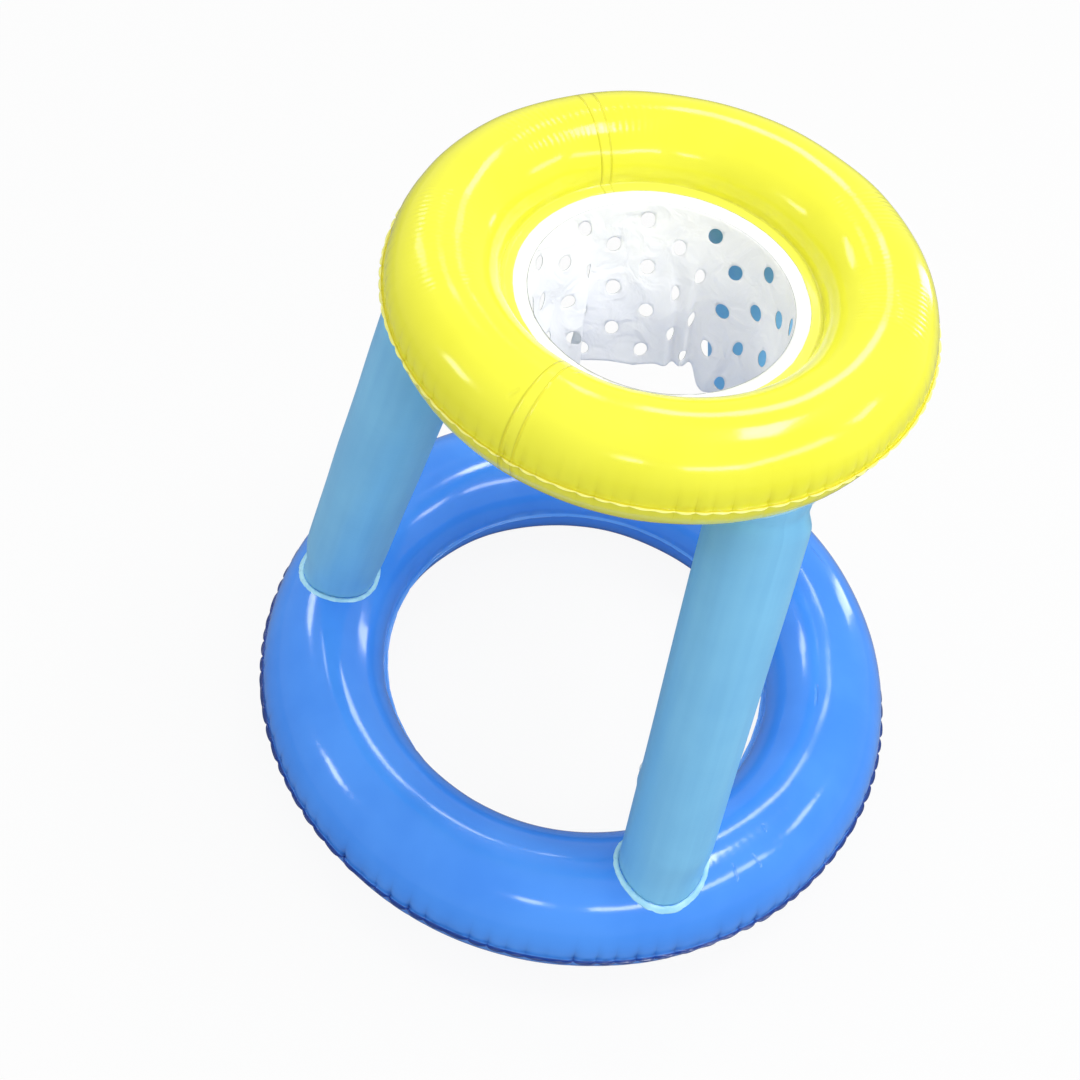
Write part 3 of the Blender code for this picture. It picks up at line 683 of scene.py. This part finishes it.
band_vinyl = cloudy_vinyl("white_band_vinyl", scale=40, detail=3, strength=0.7, height=0.0012,
                          colours=((0.86, 0.87, 0.90, 1), (0.91, 0.91, 0.93, 1)), roughness=(0.36, 0.46))
chain = [(BAND_OUTER, 0), (MOUTH_RADIUS + 0.0048, 0), (MOUTH_RADIUS, 0)]
chain += [(MOUTH_RADIUS - BAND_SLOPE * k / 8, -BAND_FALL * (k / 8) ** 2) for k in range(1, 9)]
chain += [(BAND_RADIUS, -BAND_FALL - BAND_EDGE * k / 4) for k in range(1, 5)]
shape = bmesh.new()
turned(shape, chain, BAND_STEPS)
for vert in shape.verts:
    turn, reach = atan2(vert.co.y, vert.co.x), hypot(vert.co.x, vert.co.y)
    loose = min(1, max(0, (MOUTH_RADIUS - reach) / BAND_SLOPE))
    wave = wander(turn, 5, 2) + 0.5 * wander(turn, 14, 7)
    reach += BAND_WAVE * loose * wave
    vert.co = (reach * cos(turn), reach * sin(turn), BAND_TOP + vert.co.z - BAND_SAG * loose * (1 + wave))
bmesh.ops.recalc_face_normals(shape, faces=shape.faces)
band = piece("net_band", shape, band_vinyl)
thickened(band, BAND_THICKNESS)
stands_for(band, "inflated_body", "net_vinyl", "net_collar")


# The net: one limp sheet of white vinyl, punched with seven staggered rows of eleven holes and
# welded to the band. It hangs in folds, and its lower edge is cut unevenly.
NET_TOP, NET_BOTTOM, NET_LENGTH = 0.1084, 0.081, 0.152      # radius at both ends, and length
NET_TRIM, NET_THICKNESS = 0.008, 0.0004     # the flat sheet is this much longer before it is trimmed
NET_RIM = BAND_TOP - BAND_FALL
HOLE = 0.00665
HOLES, HOLE_ROWS = 11, 7
CELLS_ROUND, CELLS_DOWN = 6 * HOLES, 2 * HOLE_ROWS + 1      # each hole lies in a square of 2 x 2 cells
CELL_WIDTH, CELL_HEIGHT = 2 * pi * NET_TOP / CELLS_ROUND, NET_LENGTH / CELLS_DOWN
FINE = 4                                    # squares of the mesh along a cell
NET_START = radians(108.5) - 20 * 2 * pi / CELLS_ROUND      # a hole of the top row is at 108.5 degrees
NET_TWIST, NET_TWIST_AZIMUTH = 0.045, radians(70)
NET_SWAY, NET_SWAY_AZIMUTH = 0.0133, radians(-40.7)         # the lower edge hangs off centre
NET_OVAL, NET_OVAL_TURN = 0.0079, radians(8.6)              # and is wider one way than the other
CRUMPLE_SCALE, FINE_CRUMPLE = 22, 2.3
CRUMPLE_DEPTH, FINE_CRUMPLE_DEPTH = 0.0040, 0.0016
FOLD_WIDTH, FOLD_BULGE = 0.085, 0.024
# A fold is its azimuth at the top and how far it drifts by the lower edge, both in degrees, how much of
# the sheet it takes up, in radians, and how far down it begins.
FOLDS = ((132, 22, 0.30, 0.05), (98, -10, 0.20, 0.15), (84, -14, 0.24, 0.10), (42, 6, 0.16, 0.40),
         (-4, -10, 0.30, 0.10), (-48, 14, 0.26, 0.20), (-91, 0, 0.30, 0.10), (-136, -12, 0.26, 0.20),
         (-168, 8, 0.24, 0.15))
# At these azimuths in degrees, the sheet is so many millimetres longer than its mean length.
EDGE = ((-180, -10), (-130, -6), (-60, 3), (0, 6), (44, 6), (55, -2), (66, -19), (73, -11), (87, -7),
        (104, -1), (117, -5), (153, -16), (180, -10))


def ragged(turn):
    """How much longer the sheet is than its mean length at a place of its lower edge."""
    angle = degrees(turn + pi) % 360 - 180
    for (start, first), (end, last) in zip(EDGE, EDGE[1:]):
        if start <= angle <= end:
            return 0.001 * (first + (last - first) * (angle - start) / (end - start))


def hung(flat_turn, drop):
    """Where a point of the flat sheet hangs: the folds take up what the narrower lower edge leaves over."""
    turn = flat_turn - NET_TWIST * min(1, 2 * drop) * (1 + cos(flat_turn - NET_TWIST_AZIMUTH))
    bulge = 0
    for azimuth, drift, depth, start in FOLDS:
        grown = max(0, drop - start) / (1 - start)
        depth *= grown * (2 - grown)
        away = (flat_turn - radians(azimuth + drift * drop) + pi) % (2 * pi) - pi
        step = away / FOLD_WIDTH
        turn -= depth * (0.5 * step / sqrt(1 + step * step) - away / (2 * pi))
        bulge -= FOLD_BULGE * depth * step * exp((1 - step * step) / 2)
    spread = NET_SWAY * cos(turn - NET_SWAY_AZIMUTH) + NET_OVAL * cos(2 * turn - NET_OVAL_TURN)
    radius = NET_TOP + (NET_BOTTOM - NET_TOP + spread + bulge) * drop
    place = CRUMPLE_SCALE * Vector((radius * cos(turn), radius * sin(turn), drop * 0.1))
    crumple = CRUMPLE_DEPTH * noise.noise(place) + FINE_CRUMPLE_DEPTH * noise.noise(FINE_CRUMPLE * place)
    radius += min(1, 3 * drop) * crumple
    height = NET_RIM - (NET_LENGTH + ragged(turn) * max(0, 2 * drop - 1)) * drop
    return Vector((radius * cos(turn), radius * sin(turn), height))


def hole_at(x, y):
    """The punched hole in whose square of the lattice a place lies, or None."""
    row = int((y / CELL_HEIGHT - 0.5) / 2 + 1) - 1
    k = (x / CELL_WIDTH - 1 - 3 * (row % 2)) / 6
    if 0 <= row < HOLE_ROWS and 0 <= k and k % 1 < 1 / 3 and int(k) < HOLES:
        return row * HOLES + int(k)
    return None


shape = bmesh.new()
bmesh.ops.create_grid(shape, x_segments=CELLS_ROUND * FINE, y_segments=CELLS_DOWN * FINE, size=0.5)
for vert in shape.verts:
    vert.co = ((vert.co.x + 0.5) * CELLS_ROUND * CELL_WIDTH, (vert.co.y + 0.5) * NET_LENGTH, 0)
centres = [Vector(((2 + 6 * k + 3 * (row % 2)) * CELL_WIDTH, (1.5 + 2 * row) * CELL_HEIGHT, 0))
           for row in range(HOLE_ROWS) for k in range(HOLES)]
punched = {}
for face in shape.faces:
    middle = face.calc_center_median()
    number = hole_at(middle.x, middle.y)
    if number is not None:
        punched.setdefault(number, []).append(face)
borders = {}
for number, faces in punched.items():
    inside = set(faces)
    borders[number] = [item for item in {item for face in faces for item in face.edges}
                       if any(face not in inside for face in item.link_faces)]
bmesh.ops.delete(shape, geom=[face for faces in punched.values() for face in faces], context="FACES")
for number, border in borders.items():
    for share in (0.5, 1):              # two rings of faces lead from the square to the round hole
        made = bmesh.ops.extrude_edge_only(shape, edges=border)["geom"]
        border = [item for item in made if isinstance(item, bmesh.types.BMEdge)]
        for vert in {vert for item in border for vert in item.verts}:
            away = vert.co - centres[number]
            vert.co = centres[number] + away.lerp(away.normalized() * HOLE, share)
for vert in shape.verts:
    vert.co = hung(NET_START + vert.co.x / NET_TOP, vert.co.y / NET_LENGTH)
bmesh.ops.remove_doubles(shape, verts=shape.verts, dist=0.00002)
bmesh.ops.recalc_face_normals(shape, faces=shape.faces)

net_vinyl, wire = new_tree("limp_white_vinyl")
place = wire.node("ShaderNodeTexCoord", output=3)
crumple = wire.node("ShaderNodeTexNoise", inputs={
    "Vector": place, "Scale": 34, "Detail": 3, "Distortion": 1.2})
cloud = wire.node("ShaderNodeTexNoise", inputs={"Vector": place, "Scale": 12, "Detail": 2})
bump = wire.node("ShaderNodeBump", inputs={"Strength": 0.8, "Distance": 1, "Height": crumple * 0.0048})
to_surface(net_vinyl, wire.node("ShaderNodeBsdfPrincipled", inputs={
    "Base Color": cloud.rise(0.35, 0.65).blend((0.87, 0.88, 0.925, 1), (0.93, 0.935, 0.96, 1)),
    "Roughness": crumple * 0.14 + 0.34, "IOR": 1.5, "Normal": bump}))
cut_edge, wire = new_tree("cut_edge_of_the_net")
place = wire.node("ShaderNodeTexCoord", output=3)
grain = wire.node("ShaderNodeTexNoise", inputs={"Vector": place, "Scale": 300, "Detail": 1})
to_surface(cut_edge, wire.node("ShaderNodeBsdfPrincipled", inputs={
    "Base Color": grain.blend((0.26, 0.28, 0.30, 1), (0.40, 0.42, 0.45, 1)), "Roughness": 0.5}))
net = piece("net_sheet", shape, net_vinyl)
net.data.materials.append(cut_edge)
wall = thickened(net, NET_THICKNESS)
wall.material_offset_rim = 1                # the cut edges wear the second material
stands_for(net, "inflated_body", "net_vinyl", "net")


# The valves: one in each ring and column, moulded in soft clear vinyl. A stem slides through a flange
# that is welded to the skin, and a plug on a strap closes its bore.
# The profiles are closed chains of (radius, height) points, from the skin outwards.
FLANGE_PROFILE = [(0.0058, 0.0003), (0.0100, 0.0003), (0.0100, 0.0006), (0.0096, 0.0011), (0.0062, 0.0013),
                  (0.0058, 0.0011)]
STEM_PROFILE = [(0.0033, VALVE_RIM_TOP), (VALVE_RIM, VALVE_RIM_TOP), (VALVE_RIM, 0.0014), (0.0055, 0.0014),
                (0.0055, -0.0108), (0.0066, -0.0108), (0.0066, -0.0120), (0.0033, -0.0120)]
PLUG_PROFILE = [(0, 0.0043), (0.0036, 0.0043), (0.0050, 0.0038), (0.0050, 0.0027), (0.0026, 0.0027),
                (0.0026, 0.0012), (0.0028, 0.0008), (0.0021, -0.0005), (0, -0.0005)]
STRAP_SIZE, STRAP_MIDDLE = (0.0158, 0.0030, 0.0007), (0.0011, 0, 0.00335)
VALVE_STEPS = 48


def valve_piece(name, node, shape, valve, body, soften):
    """Stand a part of a valve on its skin, with its corners rounded."""
    centre, across, side, out = valve
    stand = Matrix.Translation(centre) @ Matrix((across, side, out)).transposed().to_4x4()
    bmesh.ops.recalc_face_normals(shape, faces=shape.faces)
    shape.transform(stand)
    item = piece(name, shape, valve_vinyl)
    rounded = item.modifiers.new("round", "BEVEL")
    rounded.width = soften
    rounded.segments = 3
    rounded.limit_method = "ANGLE"
    stands_for(item, body, "valve_vinyl", node)


valve_vinyl = cloudy_vinyl("soft_clear_vinyl", scale=220, detail=2, strength=0.5, height=0.0001,
                           colours=((0.66, 0.78, 0.86, 1), (0.76, 0.85, 0.90, 1)), roughness=(0.16, 0.28))
for name in ("base", "hoop", "left", "front", "rear"):
    valve = valve_frame(name)
    for kind, profile, body, soften in (("flange", FLANGE_PROFILE, "inflated_body", 0.0001),
                                        ("stem", STEM_PROFILE, name + "_stem", 0.00025),
                                        ("plug", PLUG_PROFILE, name + "_plug", 0.0002)):
        shape = bmesh.new()
        turned(shape, profile, VALVE_STEPS, closed=True)
        if kind == "plug":
            strap = bmesh.ops.create_cube(shape, size=1)["verts"]
            bmesh.ops.scale(shape, vec=STRAP_SIZE, verts=strap)
            bmesh.ops.translate(shape, vec=STRAP_MIDDLE, verts=strap)
        valve_piece(kind + "_of_" + name, name + "_valve_" + kind, shape, valve, body, soften)
